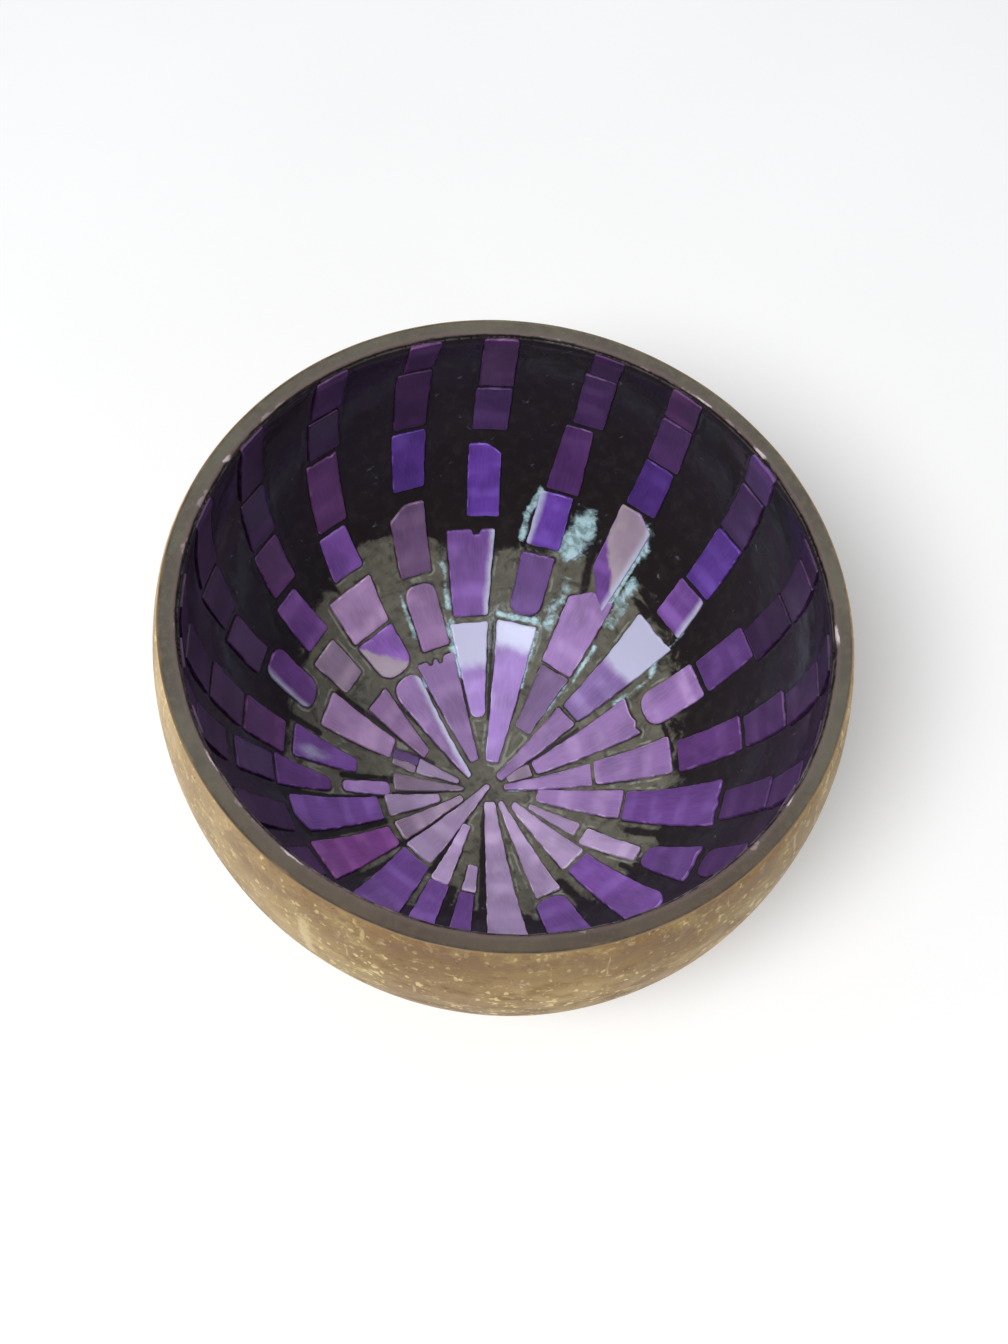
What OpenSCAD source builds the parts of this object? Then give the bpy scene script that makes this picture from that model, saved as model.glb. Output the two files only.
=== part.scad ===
// Coconut shell bowl with an inlay of dyed mother-of-pearl tiles.
// Z is up and the bowl stands on the floor at zero. X and Y are zero at the middle of its widest ring.
// The shell is cut from a nut that is nearly a ball, a little longer one way, and that leans a little.

/* [Shell] */
// Longest width of the bowl, outside
long_d = 130; // [110:1:150]
// Shortest width of the bowl, outside
short_d = 121; // [105:1:145]
// Height from the floor to the cut rim
height = 75; // [66:1:84]
// How deep the nut's round bottom is sanded flat to make the foot
foot_cut = 1.75; // [1:0.25:4]
// Thickness of the shell at its widest ring
wall = 3.6; // [2.5:0.1:5]
// Thickness of the shell at the foot
floor_t = 2.8; // [2:0.1:4]
// How far the foot lies to the left of the widest ring's middle, because the nut leans
foot_left = 2.8; // [0:0.1:5]
// How far the foot lies behind the widest ring's middle
foot_back = 0.8; // [0:0.1:3]
// Direction of the longest width
long_turn = 110; // [0:5:180]
// How far the hollow lies off the middle, which makes one side of the rim thicker
hollow_shift = 0.2; // [0:0.1:0.6]

/* [Lining] */
// Thickness of the black lacquer that covers the inside
lining_t = 0.6; // [0.3:0.1:1.2]
// How far the lacquer stops below the cut rim
lining_drop = 0.3; // [0.1:0.1:1]

/* [Pearl tiles] */
// Thickness of a mother-of-pearl tile
tile_t = 0.7; // [0.4:0.1:1.2]
// How far the topmost tiles stop below the edge of the lacquer
tile_drop = 0.4; // [0.2:0.1:2]

/* [Hidden] */
$fn = 96;

// Overrun of every cut
cut = 5;

outer_r = (long_d + short_d) / 4;
oval_share = (long_d - short_d) / (long_d + short_d);
// Height of the widest ring above the floor
wide_z = outer_r - foot_cut;

hollow_r = outer_r - wall;
hollow_z = floor_t + hollow_r;
lining_r = hollow_r - lining_t;
tile_r = lining_r - tile_t;

lining_top = height - lining_drop;
tile_top = lining_top - tile_drop;

// The spokes of the star, counted against the clock from +X, as seen from above. A spoke lists its
// tiles from the star to the rim, each as [inner end, outer end, first and second side at the inner
// end, first and second side at the outer end], in degrees. Ends are angles up from the bowl's lowest
// point and sides are turns about its axis, both seen from the middle of the hollow. These are the
// petals of the star on the bottom.
star_turns = [
    [[5, 21.5, -2, 9.5, -2.5, 9.5], [22.5, 39, -2, 9.5, -3, 8.5]],
    [[4.5, 9.5, 12, 27, 13, 28], [10.5, 33.5, 14, 28, 14.5, 28.5],
        [36, 49.5, 14, 25.5, 14.5, 23.5]],
    [[4, 22, 29, 49, 34, 46.5], [23, 47.5, 34, 45, 30.5, 43.5]],
    [[14, 27.5, 51.5, 64.5, 51, 64.5], [28.3, 45.5, 51, 65, 51.5, 64]],
    [[5.5, 34, 66, 92, 71.5, 86]],
    [[14.5, 33.5, 92, 102, 90, 104], [35, 52.5, 90, 102, 88.5, 101]],
    [[6.5, 28, 107, 124, 105, 122.5], [30, 43, 106, 117.5, 107, 116.5]],
    [[5, 27.5, 129, 152, 124, 138.5], [29, 38, 123.5, 138, 124.5, 138.5],
        [39.2, 49, 125, 139, 124.5, 138.5]],
    [[15.5, 28.5, 145, 158, 140.5, 152.5], [34.5, 43.5, 143.5, 153, 144, 153.5]],
    [[15, 20.3, 161, 168, 163, 168], [21, 37, 158, 169, 156.5, 168.5]],
    [[6.5, 19, 168, 184, 177.5, 184], [29, 43, 173.5, 181.5, 173, 182.5]],
    [[20.5, 31.5, 184, 191, 184.5, 190.5], [34, 48, 184.5, 191, 184, 192.5]],
    [[12.5, 22, 192, 202, 192.5, 203.5], [24, 45.5, 193, 204.5, 195, 206]],
    [[7.5, 22, 203, 213, 208, 219], [24, 44.5, 209.5, 219.5, 209.5, 222]],
    [[4.5, 22.5, 215, 237, 221.5, 237.5], [23.8, 44.5, 222.5, 238, 228, 241]],
    [[10, 25.5, 240.5, 248, 242, 250], [26.5, 41, 242, 250.5, 244, 251.5]],
    [[19, 25.5, 257.5, 262.5, 257, 263], [26.5, 40, 256.5, 262.5, 256.5, 263]],
    [[4.5, 40.5, 264, 286, 268.5, 280.5]],
    [[6, 28.5, 291, 304, 289, 299.5], [30, 45.5, 287.5, 299, 286, 297.5]],
    [[8, 24.7, 310, 326, 307, 320.5], [26, 51, 308, 319.5, 306, 317]],
    [[10.5, 21, 329, 334.5, 325.5, 333], [23, 36, 323, 332, 325, 330],
        [38, 51.5, 324, 331, 322, 332]],
    [[10.5, 28.3, 341.5, 354.5, 340.5, 353], [29.2, 51.5, 340, 352, 338.5, 350.5]],
];
// The smaller tiles of the same spokes, up the wall to the rim.
wall_turns = [
    [[41, 56.5, -3.5, 6, -3.5, 4.5], [58, 70.3, -3.5, 3.5, -4.5, 3], [71.7, 86, -5, 1.5, -6, 1],
        [87.2, 104, -6.5, 0.5, -8, -1]],
    [[51, 64.3, 14.5, 22.8, 14.5, 21.5], [65.2, 78.7, 12.8, 19.8, 12.5, 19],
        [79.7, 93, 12, 18.5, 11, 17.5], [94.4, 104, 11, 17.5, 10, 17]],
    [[50.5, 59.7, 31, 40, 32, 39.7], [61, 75.3, 31.7, 39, 31.3, 38],
        [76.5, 90.5, 31, 38, 30.7, 36.7], [91.7, 104, 30, 36.5, 29, 35.5]],
    [[46.7, 65.2, 53, 61.5, 51.7, 59.5], [66.5, 78, 51.7, 58.7, 51.3, 57.5],
        [79, 91.3, 50.7, 57.3, 50, 56.3], [92.5, 104, 49.8, 56, 48.7, 55]],
    [[36, 48.5, 72, 82.5, 71.5, 80.5], [50.5, 62, 71, 79.7, 70.7, 78],
        [63.2, 78.7, 69.7, 77, 69.5, 75], [80.2, 94.7, 67.7, 73.7, 66.5, 72.7],
        [95.7, 104, 66.5, 72, 65.5, 71.3]],
    [[55.5, 71.5, 87.7, 95.5, 88, 94.7], [75.3, 86, 87, 94, 86.5, 93.5],
        [87, 103.5, 86.5, 93, 86, 92.5]],
    [[45.2, 60, 107, 116, 106, 114.5], [63.5, 76.5, 105.5, 112.5, 104, 111],
        [78, 93, 104, 110.5, 102.5, 109.3], [94.3, 104, 102.3, 108, 101, 107]],
    [[52, 61.5, 125.3, 134, 126, 133], [63, 79, 125, 132.5, 123.5, 130.5],
        [80.2, 90, 122.7, 129.7, 122, 128.7], [91.3, 104, 121.5, 128, 120, 126.7]],
    [[46.2, 57.7, 143, 152, 144.5, 151.3], [60, 70.7, 142.7, 150, 142.3, 149.3],
        [72.2, 84.3, 142, 149, 141.5, 148], [86, 103.5, 141.5, 147.7, 140.5, 146.7]],
    [[40.5, 53.5, 158, 166.5, 157.5, 165], [55.5, 67, 160, 167, 160.7, 167],
        [69, 81, 159.7, 165.5, 159, 166.5], [82.5, 103.5, 159, 165.7, 158, 164.5]],
    [[45.7, 57, 174, 182.7, 173.7, 182], [58.2, 69.5, 174, 182, 173.3, 181],
        [71, 84, 174, 181, 173.5, 180.5], [85.5, 103.5, 174, 180.5, 173.5, 180]],
    [[49.2, 60.3, 184.5, 192, 185, 192.3], [64, 76, 185.3, 192.3, 185.3, 192],
        [77.5, 90, 185.5, 192, 185.5, 192], [91.5, 103.5, 186, 192, 186, 191.7]],
    [[47.5, 64, 198, 206, 198.5, 205.5], [66, 79, 198.5, 205.5, 198.5, 205],
        [80.5, 92, 198.7, 205, 198.7, 204.7], [93.5, 103.5, 198.7, 204.5, 198.5, 204.3]],
    [[46.5, 60, 211, 220, 212, 219.5], [61.5, 74.5, 212, 219.5, 212, 219],
        [76, 89, 212.3, 219, 212, 218.5], [90.5, 103.5, 212, 218.3, 212, 218]],
    [[46.5, 60, 228.5, 238.5, 229.5, 238], [61.5, 76, 229.7, 238, 230, 237.3],
        [77.5, 90, 230, 237, 230, 236.7], [91.5, 103.5, 230, 236.5, 229.7, 236]],
    [[43, 57, 245, 253.5, 246, 253], [58.5, 72, 246, 253, 246.5, 253],
        [73.5, 87, 246.5, 253, 246.7, 253], [88.5, 103.5, 246.7, 252.7, 246.7, 252.5]],
    [[42, 56, 257.5, 266.5, 258.5, 266.3], [57.5, 71, 258.7, 266.5, 259.3, 266.5],
        [72.5, 86, 259.5, 266.5, 260, 266.5], [87.5, 103.5, 260, 266.3, 260.3, 266]],
    [[42.5, 57, 272, 281.5, 273, 281], [58.5, 72.5, 273, 281, 273.5, 280.5],
        [74, 88, 273.7, 280.5, 274, 280.3], [89.5, 103.5, 274, 280, 274, 280]],
    [[47.5, 61, 288, 297, 288.5, 296.5], [62.5, 76, 288.7, 296.5, 289, 296],
        [77.5, 90, 289, 296, 289.3, 295.7], [91.5, 103.5, 289.3, 295.3, 289.3, 295]],
    [[53, 66.5, 306.5, 315.5, 307, 315], [68, 80.5, 307, 315, 307, 314],
        [82, 103.5, 307, 313.7, 307, 313]],
    [[54, 66, 323.7, 331, 324, 331], [67.5, 81, 323.7, 330.7, 323.5, 330.3],
        [82.5, 103.5, 323.3, 330, 322.5, 328.7]],
    [[53, 67, 339.7, 347.3, 339.3, 346], [68.2, 80.3, 338.5, 345, 338, 344],
        [81.7, 103.5, 337.7, 344, 336.5, 342.5]],
];
spoke_count = len(star_turns);

function numbered(stem, n) = str(stem, n < 10 ? "0" : "", n);

// Turns a round form into the nut's own: oval in plan, and leaning about its widest ring.
module nut_form() {
    multmatrix([
        [1, 0, foot_left / wide_z, -foot_left],
        [0, 1, -foot_back / wide_z, foot_back],
        [0, 0, 1, 0],
    ])
        rotate([0, 0, long_turn])
            scale([1 + oval_share, 1 - oval_share, 1])
                rotate([0, 0, -long_turn])
                    children();
}

// Everything above a level, past the bowl's own reach.
module above(level) {
    reach = long_d + cut;
    translate([-reach, -reach, level])
        cube([2 * reach, 2 * reach, reach]);
}

// Everything below the floor.
module below_floor() {
    mirror([0, 0, 1])
        above(0);
}

// A ball about the middle of the hollow.
module hollow_ball(r) {
    translate([hollow_shift, 0, hollow_z])
        sphere(r = r);
}

module coconut_shell() {
    color("peru")
        difference() {
            nut_form()
                translate([0, 0, wide_z])
                    sphere(r = outer_r);
            nut_form()
                hollow_ball(hollow_r);
            above(height);
            below_floor();
        }
}

module lacquer_lining() {
    color("#1c181c")
        difference() {
            nut_form()
                hollow_ball(hollow_r);
            nut_form()
                hollow_ball(lining_r);
            above(lining_top);
        }
}

// Direction from the middle of the hollow, at a turn about the axis and an angle up from the bottom.
function direction(turn, up) = [sin(up) * cos(turn), sin(up) * sin(turn), -cos(up)];

// Where a direction meets the flat face of a tile that is centred at a turn and an angle up.
function on_tile(d, turn, up) = lining_r * [
    d * [-sin(turn), cos(turn), 0],
    d * [cos(up) * cos(turn), cos(up) * sin(turn), sin(up)],
];

// The four corners of one tile as a straight block, square to the lining at the tile's middle.
module tile_block(t) {
    up = (t[0] + t[1]) / 2;
    turn = (t[2] + t[3] + t[4] + t[5]) / 4;
    corners = [
        for (c = [[t[2], t[0]], [t[3], t[0]], [t[5], t[1]], [t[4], t[1]]])
            on_tile(direction(c[0], c[1]), turn, up)
    ];
    translate([hollow_shift, 0, hollow_z])
        rotate([0, 0, turn])
            rotate([0, 180 - up, 0])
                rotate([0, 0, 90])
                    translate([0, 0, tile_r - cut])
                        linear_extrude(height = tile_t + 2 * cut)
                            polygon(corners);
}

// Tiles of one spoke, bent to the lining that they lie on and cut level under the rim.
module tiles(spoke) {
    difference() {
        nut_form()
            intersection() {
                difference() {
                    hollow_ball(lining_r);
                    hollow_ball(tile_r);
                }
                union() {
                    for (t = spoke)
                        tile_block(t);
                }
            }
        above(tile_top);
    }
}

module star_petals(n) {
    color("mediumpurple")
        tiles(star_turns[n]);
}

module wall_tiles(n) {
    color("rebeccapurple")
        tiles(wall_turns[n]);
}

coconut_shell();
lacquer_lining();
for (n = [1 : spoke_count]) {
    star_petals(n - 1);
    wall_tiles(n - 1);
}
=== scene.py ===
"""Looks of the coconut shell bowl with a mother-of-pearl inlay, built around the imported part.

Lengths are millimetres until a mesh is made, and metres after that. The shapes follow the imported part:
a nut that is nearly a ball, cut level at the rim, lined with black lacquer that holds the pearl tiles.
"""

import math
import random

import bpy
import numpy as np
from mathutils import Matrix, Vector, noise
from mathutils.geometry import delaunay_2d_cdt


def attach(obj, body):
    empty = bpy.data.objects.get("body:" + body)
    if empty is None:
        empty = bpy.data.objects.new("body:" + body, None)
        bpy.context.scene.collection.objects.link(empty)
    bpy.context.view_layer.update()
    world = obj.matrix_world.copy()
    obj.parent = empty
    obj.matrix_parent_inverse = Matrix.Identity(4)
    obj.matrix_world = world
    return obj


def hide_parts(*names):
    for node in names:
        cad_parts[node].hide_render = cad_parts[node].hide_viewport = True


MM = 0.001
SEED = 22

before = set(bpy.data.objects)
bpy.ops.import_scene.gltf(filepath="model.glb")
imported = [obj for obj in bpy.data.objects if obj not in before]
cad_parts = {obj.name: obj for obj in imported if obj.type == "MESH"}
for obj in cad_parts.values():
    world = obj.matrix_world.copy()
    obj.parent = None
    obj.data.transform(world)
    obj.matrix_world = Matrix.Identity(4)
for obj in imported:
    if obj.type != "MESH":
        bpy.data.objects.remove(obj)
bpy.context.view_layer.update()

# Main sizes of the part, in mm
LONG_D = 130.0
SHORT_D = 121.0
HEIGHT = 75.0
FOOT_CUT = 1.75
WALL = 3.6
FLOOR_T = 2.8
FOOT_LEFT = 2.8
FOOT_BACK = 0.8
LONG_TURN = 110.0
HOLLOW_SHIFT = 0.2
LINING_T = 0.6
LINING_DROP = 0.3
TILE_T = 0.7
TILE_DROP = 0.4

OUTER_R = (LONG_D + SHORT_D) / 4
OVAL_SHARE = (LONG_D - SHORT_D) / (LONG_D + SHORT_D)
WIDE_Z = OUTER_R - FOOT_CUT
HOLLOW_R = OUTER_R - WALL
HOLLOW_Z = FLOOR_T + HOLLOW_R
LINING_R = HOLLOW_R - LINING_T
LINING_TOP = HEIGHT - LINING_DROP
TILE_TOP = LINING_TOP - TILE_DROP
HIGHEST_TILE = math.degrees(math.acos((HOLLOW_Z - TILE_TOP) / (LINING_R - TILE_T))) - 0.4

# Mother-of-pearl colours: the body of a tile, and the sheen that crosses it in bands
TONES = {
    "lilac": ((0.33, 0.19, 0.46), (0.50, 0.33, 0.64)),
    "blue_lilac": ((0.34, 0.20, 0.54), (0.50, 0.36, 0.76)),
    "pale_lilac": ((0.46, 0.33, 0.56), (0.62, 0.48, 0.72)),
    "pink_lilac": ((0.42, 0.26, 0.50), (0.58, 0.38, 0.62)),
    "mauve": ((0.27, 0.15, 0.33), (0.40, 0.25, 0.45)),
    "grey_mauve": ((0.24, 0.17, 0.26), (0.36, 0.27, 0.37)),
    "violet": ((0.15, 0.062, 0.262), (0.23, 0.115, 0.40)),
    "blue_violet": ((0.12, 0.045, 0.32), (0.20, 0.10, 0.50)),
    "plum_violet": ((0.12, 0.044, 0.195), (0.19, 0.085, 0.285)),
    "bright_plum": ((0.22, 0.06, 0.27), (0.33, 0.12, 0.39)),
    "plum": ((0.10, 0.034, 0.128), (0.16, 0.06, 0.195)),
    "dim": ((0.045, 0.014, 0.065), (0.08, 0.028, 0.11)),
}
TONE_STEP = 1.2

# Marks of hand-cut pearl, after a tile's tone, where each + or - is a step lighter or darker.
# i, o: rounded inner or outer end. j: jagged outer end. n: a notch in the outer end, nn: two notches.
# f, s: outer corner cut off on the first or second side. q: inner corner cut off on the second side.
# w, u: outer half or outer end paler, a painted reflection. g, h: a painted highlight along the first or
# second
# side. c: a painted highlight streak by the outer second corner. d: a painted reflection in beige on the
# second side of the diagonal from the inner first corner. k: a painted reflection in beige outwards of a line
# that rises from the first side to the second.

# The spokes of the star, against the clock from +X as seen from above. A tile is its inner and outer
# end, the two sides at the inner end and the two at the outer end, in degrees as in the part's source,
# then its tone and its marks.
STAR_TILES = [
    [(3.6, 21.5, -12, 4, -2.5, 9.5, "lilac"), (22.5, 39, -2, 9.5, -3, 8.5, "lilac")],
    [(4.5, 9.5, 12, 27, 13, 28, "grey_mauve"), (10.5, 33.5, 14, 28, 14.5, 28.5, "lilac j"),
     (36, 49.5, 14, 25.5, 14.5, 23.5, "lilac +i")],
    [(2.9, 22, 22, 50, 34, 46.5, "lilac -i"), (23, 47.5, 34, 45, 30.5, 43.5, "blue_lilac -jw")],
    [(14, 27.5, 51.5, 64.5, 51, 64.5, "lilac ---"), (28.3, 45.5, 51, 65, 51.5, 64, "lilac +s")],
    [(5.5, 34, 66, 92, 71.5, 86, "blue_lilac +u")],
    [(14.5, 33.5, 92, 102, 90, 104, "blue_lilac +iw"), (35, 52.5, 90, 102, 88.5, 101, "violet ++ng")],
    [(6, 28, 108, 123, 105, 122.5, "lilac -nn"), (30, 43, 106, 117.5, 107, 116.5, "mauve +o")],
    [(4.1, 27.5, 146, 157, 124, 138.5, "lilac og"), (29, 38, 123.5, 138, 124.5, 138.5, "violet ++++id"),
     (39.2, 49, 125, 139, 124.5, 138.5, "pink_lilac +")],
    [(14, 28.5, 151, 159, 140.5, 152.5, "mauve +"), (34.5, 43.5, 143.5, 153, 144, 153.5, "grey_mauve ++")],
    [(15, 20.3, 161, 168, 163, 168, "violet --"), (15.2, 20, 169, 174, 169, 172, "grey_mauve +"),
     (21, 37, 158, 169, 156.5, 168.5, "pink_lilac +")],
    [(6, 14.8, 170, 176, 161.5, 173.5, "pale_lilac -"), (5, 19.5, 186, 192, 178, 188.5, "grey_mauve +"),
     (28, 43, 176.5, 181.7, 172.7, 182, "violet +++c")],
    [(20.8, 31, 184.5, 191.5, 186.5, 190.5, "lilac ++oi"),
     (34.3, 48, 187, 191.2, 184, 192.5, "plum_violet +++i")],
    [(10.5, 22, 194, 202, 192, 203.5, "pale_lilac"), (24, 45.5, 193, 204.5, 195, 206, "violet +++s")],
    [(6, 22, 204, 212, 208, 219, "grey_mauve +++"), (24, 44.5, 209.5, 219.5, 209.5, 222, "bright_plum ++")],
    [(0.4, 22.5, 130, 343, 221.5, 237.5, "pale_lilac"), (23.8, 44.5, 222.5, 238, 228, 241, "violet +++")],
    [(10, 25.3, 240.5, 248, 242, 250, "pale_lilac ++"), (25.9, 41, 242, 250.5, 244, 251.5, "violet ++++")],
    [(19, 25.5, 257.5, 262.5, 257, 263, "pale_lilac ++"), (26.5, 40, 256.5, 262.5, 256.5, 263, "violet ++")],
    [(3.7, 40.5, 261, 291, 268.5, 280.5, "pale_lilac +")],
    [(4.4, 28.5, 301, 311, 289, 299.5, "pale_lilac +"), (30, 45.5, 287.5, 299, 286, 297.5, "violet ++i")],
    [(6.6, 24.7, 316, 327, 307, 320.5, "pale_lilac +"), (26, 51, 308, 319.5, 306, 317, "violet +++o")],
    [(9.6, 21, 329.5, 334.5, 325.5, 333, "pale_lilac"), (23, 36, 323, 332, 325, 330, "pale_lilac +"),
     (38, 51.5, 324, 331, 322, 332, "violet ij")],
    [(10.5, 28.3, 341.5, 354.5, 340.5, 353, "lilac"), (29.2, 51.5, 340, 352, 338.5, 350.5, "violet +j")],
]

# The smaller tiles of the same spokes, up the wall to the rim
WALL_TILES = [
    [(41, 56.5, -3.5, 6, -3.5, 4.5, "plum_violet +"), (58, 70.3, -3.5, 3.5, -4.5, 3, "plum_violet --"),
     (71.7, 86, -5, 1.5, -6, 1, "dim"), (87.2, 99, -6.5, 0.5, -8, -1, "dim ---")],
    [(51, 64.3, 14.5, 22.8, 14.5, 21.5, "violet"), (65.2, 78.7, 12.8, 19.8, 12.5, 19, "dim -"),
     (79.7, 93, 12, 18.5, 11, 17.5, "dim"), (94.4, 101, 11, 17.5, 10, 17, "dim -")],
    [(50.5, 59.7, 31, 40, 32, 39.7, "violet ++g"), (61, 75.3, 31.7, 39, 31.3, 38, "blue_violet +"),
     (76.5, 90.5, 31, 38, 30.7, 36.7, "plum_violet ---"), (91.7, 104, 30, 36.5, 29, 35.5, "violet -")],
    [(43, 65.3, 53.3, 61.7, 51, 59.5, "violet ++kgfq"), (66.5, 78, 51.7, 58.7, 51.3, 57.5, "blue_violet -"),
     (79, 91.3, 50.7, 57.3, 50, 56.3, "plum_violet -"), (92.5, 104, 49.8, 56, 48.7, 55, "plum")],
    [(36, 48.5, 72, 82.5, 71.5, 80.5, "violet i"), (50.5, 62, 71, 79.7, 70.7, 78, "blue_violet ++h"),
     (63.2, 78.7, 69.7, 77, 69.5, 75, "plum_violet"), (80.2, 94.7, 67.7, 73.7, 66.5, 72.7, "plum_violet --"),
     (95.7, 104, 66.5, 72, 65.5, 71.3, "dim +")],
    [(55.5, 71.5, 87.7, 95.5, 88, 94.7, "blue_violet ++f"), (75.3, 86, 87, 94, 86.5, 93.5, "violet ---"),
     (87, 103.5, 86.5, 93, 86, 92.5, "plum")],
    [(45.2, 60, 107, 116, 106, 114.5, "mauve --s"), (63.5, 76.5, 105.5, 112.5, 104, 111, "blue_violet"),
     (78, 93, 104, 110.5, 102.5, 109.3, "dim +"), (94.3, 104, 102.3, 108, 101, 107, "dim +")],
    [(52, 61.5, 125.3, 134, 126, 133, "violet +++"), (63, 79, 125, 132.5, 123.5, 130.5, "plum ++j"),
     (80.2, 90, 122.7, 129.7, 122, 128.7, "dim --"), (91.3, 104, 121.5, 128, 120, 126.7, "dim ++")],
    [(46.2, 57.7, 143, 152, 144.5, 151.3, "plum_violet +++"), (60, 70.7, 142.7, 150, 142.3, 149.3, "plum ++"),
     (72.2, 84.3, 142, 149, 141.5, 148, "dim"), (86, 103.5, 141.5, 147.7, 140.5, 146.7, "dim -")],
    [(40.5, 53.5, 158, 166.5, 157.5, 165, "plum_violet +++oih"), (55.5, 67, 160, 167, 160.7, 167, "plum"),
     (69, 81, 159.7, 165.5, 159, 166.5, "dim -"), (82.5, 103.5, 159, 165.7, 158, 164.5, "dim -")],
    [(45.7, 57, 174, 182.7, 173.7, 182, "plum ++"), (58.2, 69.5, 174, 182, 173.3, 181, "plum --"),
     (71, 84, 174, 181, 173.5, 180.5, "dim --"), (85.5, 101, 174, 180.5, 173.5, 180, "dim --")],
    [(49.2, 60.3, 184.5, 192, 185, 192.3, "plum_violet --"), (64, 76, 185.3, 192.3, 185.3, 192, "dim -"),
     (77.5, 90, 185.5, 192, 185.5, 192, "dim -"), (91.5, 101, 186, 192, 186, 191.7, "dim -")],
    [(47.5, 64, 198, 206, 198.5, 205.5, "dim --"), (66, 79, 198.5, 205.5, 198.5, 205, "dim -"),
     (80.5, 92, 198.7, 205, 198.7, 204.7, "dim"), (93.5, 100.5, 198.7, 204.5, 198.5, 204.3, "plum -")],
    [(46.5, 60, 211, 220, 212, 219.5, "dim +"), (61.5, 74.5, 212, 219.5, 212, 219, "dim"),
     (76, 89, 212.3, 219, 212, 218.5, "plum -"), (90.5, 100, 212, 218.3, 212, 218, "dim")],
    [(46.5, 60, 228.5, 238.5, 229.5, 238, "plum_violet"), (61.5, 76, 229.7, 238, 230, 237.3, "plum"),
     (77.5, 90, 230, 237, 230, 236.7, "violet -"), (91.5, 99.5, 230, 236.5, 229.7, 236, "plum -")],
    [(43, 57, 245, 253.5, 246, 253, "violet"), (58.5, 72, 246, 253, 246.5, 253, "plum_violet"),
     (73.5, 87, 246.5, 253, 246.7, 253, "plum"), (88.5, 99, 246.7, 252.7, 246.7, 252.5, "violet --")],
    [(42, 56, 257.5, 266.5, 258.5, 266.3, "plum_violet"), (57.5, 71, 258.7, 266.5, 259.3, 266.5, "violet -"),
     (72.5, 86, 259.5, 266.5, 260, 266.5, "plum"), (87.5, 99, 260, 266.3, 260.3, 266, "plum_violet -")],
    [(42.5, 57, 272, 281.5, 273, 281, "violet"), (58.5, 72.5, 273, 281, 273.5, 280.5, "blue_violet -"),
     (74, 88, 273.7, 280.5, 274, 280.3, "plum_violet"), (89.5, 99, 274, 280, 274, 280, "plum -")],
    [(47.5, 61, 288, 297, 288.5, 296.5, "plum_violet +"), (62.5, 76, 288.7, 296.5, 289, 296, "violet -"),
     (77.5, 90, 289, 296, 289.3, 295.7, "plum +"), (91.5, 99, 289.3, 295.3, 289.3, 295, "violet --")],
    [(53, 66.5, 306.5, 315.5, 307, 315, "violet"), (68, 80.5, 307, 315, 307, 314, "plum_violet"),
     (82, 99.5, 307, 313.7, 307, 313, "plum -")],
    [(54, 66, 323.7, 331, 324, 331, "plum_violet --i"),
     (67.5, 81, 323.7, 330.7, 323.5, 330.3, "plum_violet -"),
     (82.5, 100, 323.3, 330, 322.5, 328.7, "plum -")],
    [(53, 67, 339.7, 347.3, 339.3, 346, "plum_violet --"),
     (68.2, 80.3, 338.5, 345, 338, 344, "plum_violet ---"), (81.7, 99, 337.7, 344, 336.5, 342.5, "dim ---")],
]

# How a tile is made, in mm, or as a share: its corners, its filed edge, its mesh, and its uneven face
CORNER_R = (0.12, 0.5)
CUT_CORNER_R = 0.3
EDGE_STEP = 0.35
EDGE_WANDER = 0.14
BEVEL = 0.16
SIDE_SHARE = 0.88
EDGE_MARGIN = 0.06
RING_DEPTHS = (0.12, 0.2, 0.6)
INNER_STEP = 1.0
LEAST_STEP = 0.08
BURIED = 0.35
RIM_EASE = 2.2
TILT = 0.12
SPREAD = 0.12
RIPPLE = 0.035
FLATNESS = 0.45
FLAT_REACH = 7.0

# The marks of the tiles: rounded ends, jags, notches and cut corners, as shares of the end's width, the
# depths of jags and notches, the width of a painted highlight edge and half the length of a painted highlight
# streak, in mm
ROUND_INNER = 0.45
ROUND_OUTER = 0.42
JAGS = (0.22, 0.38, 0.52, 0.67, 0.83)
JAG_DEPTH = (-0.25, 0.75)
NOTCHES = (0.36, 0.62)
NOTCH_DEPTH = (0.9, 1.3)
CUT_SIDE = 0.35
CUT_END = 0.45
PALE_EDGE = 1.1
PALE_STREAK = 1.5

# How the lacquer lies around the tiles, in mm: how high it fills the gaps, how it rises to a tile's edge,
# the ridge that it leaves away from the edge, and the steps of its mesh
FILL = 0.33
MENISCUS = 0.10
MENISCUS_REACH = 0.3
RIDGE = 0.09
RIDGE_AWAY = 0.75
MENISCUS_STEPS = (0.1, 0.3, 0.55, 0.9, 1.4)
RIDGE_STEP = 0.55
FIELD_STEP = 1.4
LUMP_STEP = 0.32
SHADOW_SEAM_STEP = 0.5
LEAST_GAP = 0.18

# The lacquer's thickness at the rim, how far its back lies inside the wood, the depths of its rings of points
# along the rim, and how far its skin goes on under a tile, in mm, and the rings of its back
RIM_LIFT = 0.12
BEDDED = 0.1
RIM_RINGS = (0.35, 0.8, 1.4)
UNDER_TILE = 0.3
BACK_RINGS = 24
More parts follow.
